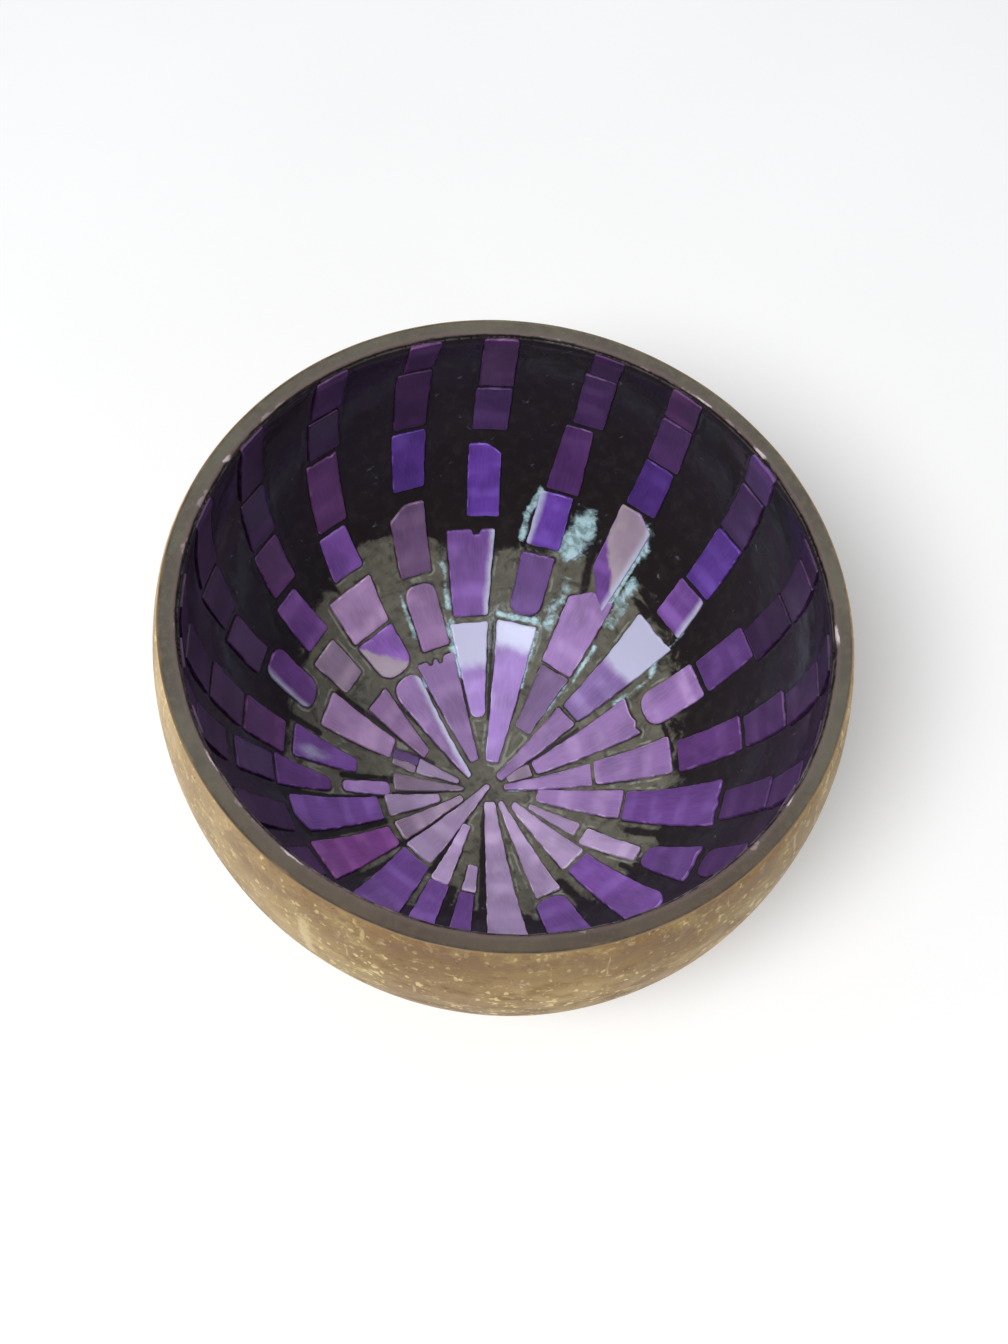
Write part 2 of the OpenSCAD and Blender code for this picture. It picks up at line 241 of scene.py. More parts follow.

# Thick, crinkled runs of lacquer beside some tiles, painted with pale blue glints: the turn and the angle up
# of both ends, then the half width and the height, in mm
LUMPS = [
    (51.3, 58.5, 52.3, 62.5, 1.7, 0.46), (52.5, 45, 51.3, 57, 0.7, 0.42), (50, 46, 49.5, 52, 1.7, 0.34),
    (68.3, 51.5, 65.6, 58, 2.9, 0.52), (81.3, 51.5, 80.6, 56, 1.0, 0.5), (80, 57.5, 78.3, 62, 0.9, 0.5),
    (67.5, 36.5, 65.8, 43.5, 2.2, 0.30), (49.3, 42.5, 48.2, 45.5, 2.3, 0.32), (72, 35.3, 86, 35.2, 0.9, 0.4),
    (71, 22, 71.3, 33, 0.7, 0.34), (41, 44, 33, 44.5, 0.7, 0.36), (31, 43, 28.5, 40.5, 0.9, 0.36),
    (28.5, 40, 29.5, 31, 0.7, 0.30), (31, 46.5, 31, 52, 0.5, 0.32), (105, 23.5, 104, 34, 1.4, 0.36),
    (103.7, 37, 103, 47, 0.8, 0.32), (118.5, 33, 118, 42, 0.7, 0.34), (16, 38, 15, 45, 0.6, 0.34),
    (49, 28, 49.5, 36, 0.6, 0.32), (123.5, 24, 121.5, 26, 0.6, 0.4), (52.5, 17, 50.5, 27, 0.9, 0.3),
    (-8, 4.5, -5, 10, 0.6, 0.3),
]

# Black seams in the olive part, a painted shadow in the gaps: the turn and the angle up of both ends, and the
# half width in mm
SHADOW_SEAMS = [
    (155, 20, 155.3, 36, 0.9), (160.5, 12, 160, 15, 0.7), (190.5, 10, 190.5, 20, 0.35),
    (182, 20, 184, 31, 0.8), (218, 10, 220.5, 23, 0.8), (221, 22.5, 219, 24, 1), (239, 9, 240, 24, 0.7),
    (266, 4, 262, 9, 0.6), (264.5, 9, 266.5, 38, 0.8), (252.5, 26, 254.5, 40, 1.2), (30, 8, 30.5, 22, 0.5),
    (282.8, 33, 284, 40, 0.9), (301.8, 27, 302.5, 40, 1.2), (88.7, 14, 88, 33, 0.45),
    (104.5, 15, 104, 26, 0.4), (125, 24, 140, 9, 0.3), (61, 45, 63.5, 58, 1.2), (51.2, 49, 50.9, 56.5, 0.3),
    (4, 39.5, 24, 39, 0.5), (322, 34, 321, 46, 0.7), (336, 31, 336, 46, 1), (205.5, 24, 207.5, 45, 1.2),
    (225, 26, 224, 44, 0.9), (171.5, 37, 171, 45, 0.8), (192.5, 21, 193.5, 44, 0.5),
    (139.5, 14, 141.5, 26, 0.4),
]

# White chips and painted highlights along the inner edge of the rim: the turn and half the length, in degrees
CHIPS_AND_GLINTS = [(211, 3), (232, 3.5), (357, 2.5), (35, 2), (49, 2.5), (324, 1.5), (150, 1.5)]

# How far up the wall the lacquer is olive, from dust and a painted reflection of the bright room, in degrees
# at turns of 30 degrees from +X, over how many degrees that ends, and its share where it is thinner
DUST_AND_REFLECTION_ENDS = (38, 46, 53, 46, 56, 48, 43, 38, 33, 32, 34, 38)
DUST_AND_REFLECTION_SOFT = 8.0
DUST_AND_REFLECTION_THIN = 0.85

# The shell's dents, and the wear of the cut rim's outer and inner edges, each as a middle value and its
# swing in mm
DENT = (0.10, 0.10)
WORN_OUTSIDE = (0.35, 0.12)
WORN_INSIDE = (0.5, 0.3)

# The rim in mm: about its radius, how far below the cut the skin and the hollow's wall end, and how far the
# cut's outer edge, its face and its inner edge stand back
RIM_R = 60
SKIN_END = 0.9
HOLLOW_END = 1.6
OUTER_BACK = 0.12
FACE_BACK = 0.04
INNER_BACK = 0.02

# The shell's mesh: the points around its rings, and the rings of its skin and of its hollow
AROUND = 360
SKIN_RINGS = 84
HOLLOW_RINGS = 40


def nut_form(p):
    """Turns points of a round form into the nut's own: oval in plan, and leaning about its widest ring."""
    c, s = math.cos(math.radians(LONG_TURN)), math.sin(math.radians(LONG_TURN))
    u = (p[:, 0] * c + p[:, 1] * s) * (1 + OVAL_SHARE)
    v = (p[:, 1] * c - p[:, 0] * s) * (1 - OVAL_SHARE)
    rise = p[:, 2] / WIDE_Z - 1
    return np.column_stack([u * c - v * s + FOOT_LEFT * rise, u * s + v * c - FOOT_BACK * rise, p[:, 2]])


def direction(turn, up):
    """Unit directions from the middle of the hollow, from turns about the axis and angles up, in radians."""
    return np.column_stack([np.sin(up) * np.cos(turn), np.sin(up) * np.sin(turn), -np.cos(up)])


def on_wall(d, lift):
    """Points along the directions d that stand lift mm off the bare wall of the hollow."""
    return nut_form(np.array([HOLLOW_SHIFT, 0, HOLLOW_Z]) + d * (HOLLOW_R - lift)[:, None])


def rough(points, size, seed, detail=1):
    """Smooth noise from about -1 to 1 at points, with lumps about size mm across."""
    out = np.zeros(len(points))
    for k in range(detail):
        scale = 2**k / size
        shift = Vector((seed * 7.31 + k * 3.7, seed * 3.17, seed * 5.93))
        out += np.array([noise.noise(Vector(p) * scale + shift) for p in points]) / 2**k
    return out


def distance_to(outline, p):
    """Distance of 2-D points p to a closed outline, below zero inside it."""
    a = outline
    b = np.roll(outline, -1, 0)
    ab = b - a
    best = np.full(len(p), 1e9)
    inside = np.zeros(len(p), bool)
    for k in range(len(a)):
        ap = p - a[k]
        t = np.clip((ap @ ab[k]) / max(ab[k] @ ab[k], 1e-12), 0, 1)
        gap = ap - t[:, None] * ab[k]
        best = np.minimum(best, (gap**2).sum(1))
        crosses = (a[k, 1] > p[:, 1]) != (b[k, 1] > p[:, 1])
        if crosses.any() and abs(ab[k, 1]) > 1e-12:
            at = a[k, 0] + (p[:, 1] - a[k, 1]) * ab[k, 0] / ab[k, 1]
            inside ^= crosses & (p[:, 0] < at)
    return np.where(inside, -1, 1) * np.sqrt(best)


def spread(points, gap, first):
    """The first points, and those of the rest that aren't closer than gap to a kept one, as indices."""
    cells = {}
    kept = []
    for n, (x, y) in enumerate(points):
        i, j = math.floor(x / gap), math.floor(y / gap)
        near = [cells.get((i + a, j + b), ()) for a in (-1, 0, 1) for b in (-1, 0, 1)]
        if any((x - q[0]) ** 2 + (y - q[1]) ** 2 < gap * gap for cell in near for q in cell):
            continue
        cells.setdefault((i, j), []).append((x, y))
        kept.append(n)
    kept = np.array(kept, int)
    return np.concatenate([np.arange(first), kept[kept >= first]])


def grid_points(low, high, step):
    """Points of a hexagonal grid that covers a box."""
    rows = []
    for n, y in enumerate(np.arange(low[1], high[1] + step, step * 0.866)):
        x = np.arange(low[0], high[0] + step, step) + (step / 2 if n % 2 else 0)
        rows.append(np.column_stack([x, np.full(len(x), y)]))
    return np.concatenate(rows)


def triangulate(points, loop):
    """Triangles over 2-D points inside a closed loop, which is the first loop points in order."""
    edges = [(n, (n + 1) % loop) for n in range(loop)]
    verts, _, faces, origin, *_ = delaunay_2d_cdt(
        [Vector(p) for p in points], edges, [list(range(loop))], 1, 1e-7)
    first = [o[0] if o else -1 for o in origin]
    return [[first[v] for v in f] for f in faces if all(first[v] >= 0 for v in f)]


def make_object(name, points, faces, materials, slots=None):
    """A smooth mesh object from points in mm, with its materials."""
    mesh = bpy.data.meshes.new(name)
    mesh.from_pydata((np.asarray(points) * MM).tolist(), [], faces)
    for m in materials:
        mesh.materials.append(m)
    if slots is not None:
        mesh.polygons.foreach_set("material_index", np.asarray(slots, np.int32))
    mesh.polygons.foreach_set("use_smooth", np.ones(len(mesh.polygons), bool))
    mesh.update()
    ob = bpy.data.objects.new(name, mesh)
    bpy.context.scene.collection.objects.link(ob)
    return ob


class Tile:
    """One pearl tile: its own plane, square to the lining at its middle, and its outline there."""

    def __init__(self, row, rng):
        inner, outer, *sides = row[:6]
        outer = min(outer, HIGHEST_TILE)
        tone, _, marks = row[6].partition(" ")
        step = TONE_STEP ** (marks.count("+") - marks.count("-"))
        self.colours = [tuple(c * step for c in colour) for colour in TONES[tone]]
        self.up = math.radians((inner + outer) / 2)
        self.turn = math.radians(sum(sides) / 4)
        self.seed = rng.uniform(0, 100)
        self.tilt = (rng.uniform(-1, 1) * TILT, rng.uniform(-1, 1) * TILT)
        self.out = direction(np.array([self.turn]), np.array([self.up]))[0]
        self.across = np.array([-math.sin(self.turn), math.cos(self.turn), 0])
        self.along = np.array([math.cos(self.up) * math.cos(self.turn),
                               math.cos(self.up) * math.sin(self.turn), math.sin(self.up)])
        turns = np.radians([sides[0], sides[1], sides[3], sides[2]])
        ups = np.radians([inner, inner, outer, outer])
        corners = self.flat(direction(turns, ups))
        self.pale = self.pale_side(corners, marks)
        self.outline = self.cut_outline(corners, marks, rng)
        self.half = np.abs(self.outline).max(0)

    def flat(self, d):
        """Directions as points of the tile's plane, in mm."""
        return LINING_R * np.column_stack([d @ self.across, d @ self.along])

    def sphere(self, p):
        """Points of the tile's plane as directions."""
        q = p / LINING_R
        depth = np.sqrt(np.maximum(1 - (q**2).sum(1), 0))
        return q[:, :1] * self.across + q[:, 1:] * self.along + depth[:, None] * self.out

    def cut_outline(self, corners, marks, rng):
        """The outline with its marks, rounded corners and slightly uneven edges, against the clock."""
        a, b, c, d = corners
        low, high = CORNER_R
        top = np.linalg.norm(c - d)
        foot = np.linalg.norm(b - a)
        inner_r = ROUND_INNER * foot if "i" in marks else rng.uniform(low, high)
        outer_r = ROUND_OUTER * top if "o" in marks else rng.uniform(low, high)
        path = [(a, inner_r), (b, inner_r if "i" in marks else rng.uniform(low, high))]
        if "q" in marks:
            path = [(a, CUT_CORNER_R), (a + (b - a) * 0.15, CUT_CORNER_R), (b + (c - b) * 0.33, CUT_CORNER_R)]
        along_top = (d - c) / max(top, 1e-6)
        down = (a - d) / np.linalg.norm(a - d)
        if "s" in marks:
            path += [(c + (b - c) / np.linalg.norm(b - c) * CUT_SIDE * top, CUT_CORNER_R),
                     (c + along_top * CUT_END * top, CUT_CORNER_R)]
        else:
            path += [(c, outer_r)]
        if "j" in marks:
            for share in JAGS:
                bite = rng.uniform(*JAG_DEPTH)
                path += [(c + along_top * share * top + down * bite, 0.2)]
        if "n" in marks:
            for share in NOTCHES[-marks.count("n"):]:
                deep = rng.uniform(*NOTCH_DEPTH)
                for side, dip in ((-0.11, 0), (-0.07, deep), (0.07, deep), (0.11, 0)):
                    path += [(c + along_top * (share + side) * top + down * dip, 0.35)]
        if "f" in marks:
            path += [(d - along_top * CUT_END * top, CUT_CORNER_R), (d + down * CUT_SIDE * top, CUT_CORNER_R)]
        else:
            path += [(d, outer_r if "o" in marks else rng.uniform(low, high))]
        return self.wander(self.resampled(self.rounded(path)))

    def pale_side(self, corners, marks):
        """How far into the tile's painted reflections and highlights, pale and beige, points of its plane
        are, in about mm.
        """
        a, b, c, d = corners

        def inside(start, end, within):
            """Distances from a line through two corners, on the side of a third one."""
            across = np.array([end[1] - start[1], start[0] - end[0]])
            across *= np.sign(across @ (within - start)) / np.linalg.norm(across)
            return lambda p: (p - start) @ across

        pale, beige = [lambda p: np.full(len(p), -9.0)], [lambda p: np.full(len(p), -9.0)]
        for mark, from_end in (("w", 0.5), ("u", 0.8)):
            if mark in marks:
                pale.append(inside(a + (d - a) * from_end, b + (c - b) * from_end, c))
        if "d" in marks:
            beige.append(inside(a, c, b))
        if "k" in marks:
            beige.append(inside(a + (d - a) * 0.15, b + (c - b) * 0.65, d))
        if "c" in marks:
            spot, along = c + (b - c) * 0.3 + (d - c) * 0.25, (c - b) / np.linalg.norm(c - b)
            squeeze = np.eye(2) - 0.6 * np.outer(along, along)
            pale.append(lambda p: PALE_STREAK - np.linalg.norm((p - spot) @ squeeze, axis=1))
        for mark, side in (("g", (a, d, b)), ("h", (b, c, a))):
            if mark in marks:
                pale.append(lambda p, near=inside(*side): 2.0 * (1 - near(p) / PALE_EDGE))
        return [lambda p, fields=fields: np.max([field(p) for field in fields], axis=0)
                for fields in (pale, beige)]

    def rounded(self, path):
        """A closed line through corners, each cut by a curve of about its radius."""
        line = []
        for n, (p, r) in enumerate(path):
            before, after = path[n - 1][0] - p, path[(n + 1) % len(path)][0] - p
            long_a, long_b = np.linalg.norm(before), np.linalg.norm(after)
            r = min(r, 0.48 * long_a, 0.48 * long_b)
            start, end = p + before / long_a * r, p + after / long_b * r
            for t in np.linspace(0, 1, 6):
                line.append((1 - t) ** 2 * start + 2 * t * (1 - t) * p + t**2 * end)
        return np.array(line)

    def resampled(self, line):
        """The closed line with points about EDGE_STEP apart."""
        closed = np.vstack([line, line[:1]])
        run = np.concatenate([[0], np.cumsum(np.linalg.norm(np.diff(closed, axis=0), axis=1))])
        count = max(int(run[-1] / EDGE_STEP), 12)
        at = np.arange(count) * run[-1] / count
        return np.column_stack([np.interp(at, run, closed[:, k]) for k in (0, 1)])

    def normals(self, line):
        """Unit normals that point into a closed line that runs against the clock."""
        along = np.roll(line, -1, 0) - np.roll(line, 1, 0)
        along /= np.maximum(np.linalg.norm(along, axis=1), 1e-9)[:, None]
        return np.column_stack([-along[:, 1], along[:, 0]])

    def wander(self, line):
        """The line with its edges slightly uneven, as they are where pearl is snapped and filed."""
        at = np.column_stack([line, np.full(len(line), self.seed)])
        by = SPREAD + rough(at, 2.2, self.seed, 2) * EDGE_WANDER
        return line - self.normals(line) * by[:, None]

    def lift(self, p, gap):
        """How far the tile's face stands off the bare wall, at points of its plane gap mm inside its edge."""
        curve = np.sin(np.clip(gap / BEVEL, 0, 1) * math.pi / 2)
        face = LINING_T + TILE_T * (SIDE_SHARE + (1 - SIDE_SHARE) * curve)
        reach = np.minimum(self.half, FLAT_REACH)
        share = p / self.half
        flat = FLATNESS * ((reach**2) * (1 - share**2)).sum(1) / (2 * LINING_R)
        tilt = share @ np.array(self.tilt)
        at = np.column_stack([p, np.full(len(p), self.seed)])
        lift = face + flat + tilt + RIPPLE * rough(at, 6.0, self.seed + 5, 2)
        return lift * eased((LINING_TOP - HOLLOW_Z - LINING_R * self.sphere(p)[:, 2]) / RIM_EASE)

    def mesh(self):
        """Points in mm, triangles, and each point's place on the tile: one closed solid."""
        inward = self.normals(self.outline)
        loop = len(self.outline)
        inner = np.concatenate([*(self.outline + inward * deep for deep in RING_DEPTHS),
                                grid_points(-self.half, self.half, INNER_STEP)])
        gap = -distance_to(self.outline, inner)
        inner = inner[gap > EDGE_MARGIN]
        flat = np.vstack([self.outline, inner])
        flat = flat[spread(flat, LEAST_STEP, loop)]
        gap = np.maximum(-distance_to(self.outline, flat), 0)
        gap[:loop] = 0
        top = on_wall(self.sphere(flat), self.lift(flat, gap))
        faces = triangulate(flat, loop)
        foot = on_wall(self.sphere(flat), np.full(len(flat), LINING_T - BURIED))
        count = len(flat)
        closed = faces + [[c + count, b + count, a + count] for a, b, c in faces]
        closed += [[n, n + count, (n + 1) % loop + count, (n + 1) % loop] for n in range(loop)]
        place = np.column_stack([flat, np.full(count, self.seed)])
        looks = np.column_stack([place, np.tile(np.concatenate(self.colours), (count, 1)),
                                 *[patch(flat) for patch in self.pale], gap])
        return np.vstack([top, foot]), closed, np.vstack([looks, looks])


def eased(share):
    """A quarter of a round: 0 at 0 and 1 from 1 on."""
    return np.sqrt(1 - (1 - np.clip(share, 0, 1)) ** 2)


def add_attributes(ob, columns, values):
    """Named attributes of a mesh's points, from columns of values: three for a vector, or one."""
    at = 0
    for name, size in columns.items():
        kind, key = ("FLOAT_VECTOR", "vector") if size == 3 else ("FLOAT", "value")
        attribute = ob.data.attributes.new(name, kind, "POINT")
        attribute.data.foreach_set(key, values[:, at:at + size].astype(np.float32).ravel())
        at += size


def build_tiles(stem, rows, rng, material):
    """One piece for each spoke, with its tiles as separate solids."""
    made, tiles = [], []
    for n, spoke in enumerate(rows):
        points, faces, looks = [], [], []
        for row in spoke:
            tile = Tile(row, rng)
            tiles.append(tile)
            p, f, look = tile.mesh()
            base = sum(len(x) for x in points)
            points.append(p)
            looks.append(look)
            faces += [[v + base for v in face] for face in f]
        node = f"{stem}_{n + 1:02d}"
        ob = make_object(f"{node}_pearl", np.vstack(points), faces, [material])
        columns = {"place": 3, "body": 3, "sheen": 3, "pale": 1, "beige": 1, "gap": 1}
        add_attributes(ob, columns, np.vstack(looks))
        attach(ob, "root")
        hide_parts(node)
        made.append(ob)
    return made, tiles


def rim_noise(turns, size, seed):
    """Smooth noise along the rim at turns about the axis, with lumps about size mm across."""
    at = np.column_stack([np.cos(turns), np.sin(turns), np.zeros(len(turns))]) * RIM_R
    return rough(at, size, seed, 2)


def worn_edge(turns):
    """How far the inner edge of the rim is rubbed away at turns about the axis, in mm."""
    return WORN_INSIDE[0] + WORN_INSIDE[1] * np.clip(rim_noise(turns, 7.0, 21), -1, 1)


def lining_top(turns):
    """Height of the lacquer's upper edge at turns about the axis: it ends at the rubbed edge of the rim."""
    return np.minimum(HEIGHT - worn_edge(turns), LINING_TOP)


def run_field(flat, runs):
    """Thickness of runs at points of the flat map, from the turn and angle up of their ends, their half
    width and their height, which is 1 where none is given."""
    thick = np.zeros(len(flat))
    for turn_a, up_a, turn_b, up_b, width, *height in runs:
        ends = np.radians([[turn_a, up_a], [turn_b, up_b]])
        a, b = np.column_stack([np.cos(ends[:, 0]), np.sin(ends[:, 0])]) * (ends[:, 1] * LINING_R)[:, None]
        share = np.clip(((flat - a) @ (b - a)) / ((b - a) @ (b - a)), 0, 1)
        away = np.linalg.norm(flat - a - share[:, None] * (b - a), axis=1)
        thick = np.maximum(thick, (*height, 1)[0] * np.exp(-((away / width) ** 2)))
    return thick


def haze(turn, up):
    """How olive the lacquer is, from dust and a painted reflection, and the way left to the end of it, in
    soft widths.
    """
    knots = np.arange(len(DUST_AND_REFLECTION_ENDS) + 1) * 360 / len(DUST_AND_REFLECTION_ENDS)
    end = np.interp(np.degrees(turn) % 360, knots, [*DUST_AND_REFLECTION_ENDS, DUST_AND_REFLECTION_ENDS[0]])
    # Below this angle, which is higher at the back than in front, it is a little thinner
    thin_end = 28 + 18 * np.sin(turn)
    thick = np.clip((np.degrees(up) - thin_end) / DUST_AND_REFLECTION_SOFT + 0.5, 0, 1)
    return np.column_stack([DUST_AND_REFLECTION_THIN + (1 - DUST_AND_REFLECTION_THIN) * thick, (end - np.degrees(up)) / DUST_AND_REFLECTION_SOFT])


def build_lining(tiles, material):
    """The lacquer: a closed skin on the hollow, drawn up to the edges of the tiles that it holds."""
    top_up = math.acos((HOLLOW_Z - LINING_TOP) / LINING_R)
    rim_count = int(2 * math.pi * LINING_R * math.sin(top_up) / RIDGE_STEP)
    rim_turns = np.arange(rim_count) * 2 * math.pi / rim_count

    def to_map(turn, up):
        """The hollow laid flat about its lowest point, in mm."""
        return np.column_stack([np.cos(turn), np.sin(turn)]) * (up * LINING_R)[:, None]

    reach = top_up * LINING_R
    loop = to_map(rim_turns, np.full(rim_count, top_up))
    sets = [loop]
    for deep in RIM_RINGS:
        sets.append(loop * (1 - deep / reach))
    for tile in tiles:
        count = max(int(len(tile.outline) * EDGE_STEP / RIDGE_STEP), 10)
        pick = (np.arange(count) * len(tile.outline) / count).astype(int)
        inward = tile.normals(tile.outline)[pick]
        for gap in (*MENISCUS_STEPS, -UNDER_TILE):
            d = tile.sphere(tile.outline[pick] - inward * gap)
            sets.append(to_map(np.arctan2(d[:, 1], d[:, 0]), np.arccos(-d[:, 2])))
    side = np.full(2, reach)
    for step, runs, least in ((LUMP_STEP, LUMPS, 0.02), (SHADOW_SEAM_STEP, SHADOW_SEAMS, 0.1)):
        grid = grid_points(-side, side, step)
        sets.append(grid[run_field(grid, runs) > least])
    sets.append(grid_points(-side, side, FIELD_STEP))
    flat = np.concatenate(sets)
    inside = np.linalg.norm(flat, axis=1) < reach - 0.15
    inside[:rim_count] = True
    flat = flat[inside]
    flat = flat[spread(flat, LEAST_GAP, rim_count)]
    turn, up = np.arctan2(flat[:, 1], flat[:, 0]), np.linalg.norm(flat, axis=1) / LINING_R
    d = direction(turn, up)

    edge = np.full(len(flat), 1e3)
    for tile in tiles:
        near = np.nonzero(d @ tile.out > math.cos((np.linalg.norm(tile.half) + 4) / LINING_R))[0]
        gap = distance_to(tile.outline, tile.flat(d[near]))
        edge[near] = np.minimum(edge[near], gap)

    at = on_wall(d, np.zeros(len(d)))
    outside = np.maximum(edge, 0)
    drawn = 0.8 + 0.4 * np.clip(rough(at, 5.0, 11, 2), -1, 1)
    fill = FILL + MENISCUS * drawn * np.exp(-((outside / MENISCUS_REACH) ** 1.3))
    fill += RIDGE * drawn * np.exp(-(((outside - RIDGE_AWAY) / 0.3) ** 2))
    fill += 0.06 * rough(at, 9.0, 2, 2) + 0.035 * rough(at, 2.4, 4, 2)
    thick = run_field(flat, LUMPS)
    near = np.nonzero(thick > 0.02)[0]
    crinkled = np.zeros(len(at))
    crinkled[near] = rough(at[near], 1.8, 13, 2)
    fill += 0.7 * thick * (0.55 + 0.75 * crinkled) * np.clip(outside / 0.2, 0, 1)
    under = np.clip((-edge - 0.1) / 0.2, 0, 1)
    lift = LINING_T + fill * (1 - under)
    skin = on_wall(d, lift)
    low = lining_top(turn)
    lift = RIM_LIFT + (lift - RIM_LIFT) * eased((low - skin[:, 2]) / RIM_EASE)
    skin = on_wall(d, lift)
    skin[:, 2] = np.minimum(skin[:, 2], low)

    faces = triangulate(flat, rim_count)
    points = [skin]
    count = len(skin)
    for r in range(BACK_RINGS):
        level = np.full(rim_count, top_up * (1 - r / BACK_RINGS))
        back = on_wall(direction(rim_turns, level), np.full(rim_count, -BEDDED))
        back[:, 2] = np.minimum(back[:, 2], lining_top(rim_turns))
        points.append(back)
    points.append(on_wall(direction(np.zeros(1), np.zeros(1)), np.full(1, -BEDDED)))

    def ring(r, n):
        """Number of a point of the back's rings."""
        return count + r * rim_count + n % rim_count

    for n in range(rim_count):
        faces.append([n, (n + 1) % rim_count, ring(0, n + 1), ring(0, n)])
        for r in range(BACK_RINGS - 1):
            faces.append([ring(r, n), ring(r, n + 1), ring(r + 1, n + 1), ring(r + 1, n)])
        faces.append([ring(BACK_RINGS - 1, n), ring(BACK_RINGS - 1, n + 1), ring(BACK_RINGS, 0)])
    points = np.vstack(points)
    ob = make_object("lacquer_lining_glossy", points, faces, [material])
    # The looks of the lacquer: how olive it is from dust and painted reflection and how far to its end, the
    # painted glint on its lumps, the distance to the tiles, the painted shadow seams, and the depth below its
    # top edge
    looks = np.tile([0.0, -9.0, 0.0, 9.0, 0.0, 0.0], (len(points), 1))
    looks[:count] = np.column_stack([haze(turn, up), np.clip(thick / 0.4, 0, 1) * (edge > -0.2),
                                     np.minimum(edge, 9), run_field(flat, SHADOW_SEAMS),
                                     np.minimum(low - skin[:, 2], 9)])
    add_attributes(ob, {"haze": 3, "edge": 1, "crack": 1, "top": 1}, looks)
    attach(ob, "root")
    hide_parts("lacquer_lining")
    return ob


def build_shell(materials):
    """The half nut: sanded skin outside, a flat foot, and a level cut rim with its edges taken off."""
    turns = np.arange(AROUND) * 2 * math.pi / AROUND
    circle = np.column_stack([np.cos(turns), np.sin(turns)])
    worn_in = worn_edge(turns)
    worn_out = WORN_OUTSIDE[0] + WORN_OUTSIDE[1] * rim_noise(turns, 12.0, 22)
    rings, looks, across = [], [], []

    def level(radius, height):
        """A ring of the round form at a height, turned into the nut's form."""
        r, z = np.broadcast_to(radius, (AROUND,)), np.broadcast_to(height, (AROUND,))
        return nut_form(np.column_stack([circle * r[:, None], z]))

    def add(points, look, share=0.0):
        """Adds a ring, with its material and its place across the cut face."""
        rings.append(points)
        looks.append(look)
        across.append(share)

    for share in (0.02, 0.35, 0.7, 0.93):
        add(level(math.sqrt(OUTER_R**2 - WIDE_Z**2) * share, 0.0), "foot")
    start = math.asin(WIDE_Z / OUTER_R)
    last = math.asin((HEIGHT - SKIN_END - WIDE_Z) / OUTER_R)
    for k in range(SKIN_RINGS + 1):
        a = -start + (start + last) * k / SKIN_RINGS
        points = level(OUTER_R * math.cos(a), WIDE_Z + OUTER_R * math.sin(a))
        dent = DENT[0] + DENT[1] * np.clip(rough(points, 26.0, 31, 2), -1, 1)
        away = points - points.mean(0)
        away /= np.linalg.norm(away, axis=1)[:, None]
        add(points - away * (dent * np.clip((k - 2) / 8, 0, 1))[:, None], "skin")
    rim_outer = math.sqrt(OUTER_R**2 - (HEIGHT - WIDE_Z) ** 2)
    rim_inner = math.sqrt(HOLLOW_R**2 - (HEIGHT - HOLLOW_Z) ** 2)
    shift = np.array([HOLLOW_SHIFT, 0, 0])
    for share in (0.0, 0.3, 0.6, 0.85, 1.0):
        curve = share * math.pi / 2
        points = level(rim_outer - worn_out * (1 - math.cos(curve)) - OUTER_BACK,
                       HEIGHT - worn_out * (1 - math.sin(curve)))
        add(points, "skin" if share < 0.6 else "rim", 0.06 * share)
    for share in (0.12, 0.3, 0.5, 0.72):
        points = level(rim_outer + (rim_inner - rim_outer) * share, HEIGHT - FACE_BACK)
        add(points + shift * share, "rim", share)
    for share in (0.0, 0.35, 0.7, 1.0):
        curve = share * math.pi / 2
        points = level(rim_inner + worn_in * (1 - math.sin(curve)) + INNER_BACK,
                       HEIGHT - worn_in * 1.3 * (1 - math.cos(curve)))
        add(points + shift, "rim", 0.87 + 0.2 * share)
    first = math.acos((HOLLOW_Z - HEIGHT + HOLLOW_END) / HOLLOW_R)
    for k in range(HOLLOW_RINGS):
        up = first * (1 - k / HOLLOW_RINGS) + 0.01 * k / HOLLOW_RINGS
        add(on_wall(direction(turns, np.full(AROUND, up)), np.zeros(AROUND)), "rim", 1.3)

    names = ["skin", "rim", "foot"]
    # White chips and painted highlights along the inner edge
    chipped = np.zeros(AROUND)
    for turn, half in CHIPS_AND_GLINTS:
        off = (np.degrees(turns) - turn + 180) % 360 - 180
        chipped = np.maximum(chipped, np.exp(-((off / half) ** 2)))
    points = np.vstack([*rings, rings[0].mean(0), rings[-1].mean(0)])
    count = len(rings)
    low, high = len(points) - 2, len(points) - 1
    faces, slots = [], []
    for r in range(count - 1):
        a, b = r * AROUND, (r + 1) * AROUND
        faces += [[a + n, a + (n + 1) % AROUND, b + (n + 1) % AROUND, b + n] for n in range(AROUND)]
        slots += [names.index(looks[r])] * AROUND
    top = (count - 1) * AROUND
    for n in range(AROUND):
        m = (n + 1) % AROUND
        faces += [[low, m, n], [high, top + n, top + m]]
        slots += [names.index("foot"), names.index("rim")]
    ob = make_object("coconut_shell_sanded", points, faces, [materials[k] for k in names], slots)
    looks = np.column_stack([np.repeat([*across, 0.0, 1.3], [AROUND] * count + [1, 1]),
                             np.concatenate([np.tile(chipped, count), [0, 0]])])
    add_attributes(ob, {"across": 1, "chip": 1}, looks)
    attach(ob, "root")
    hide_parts("coconut_shell")
    return ob


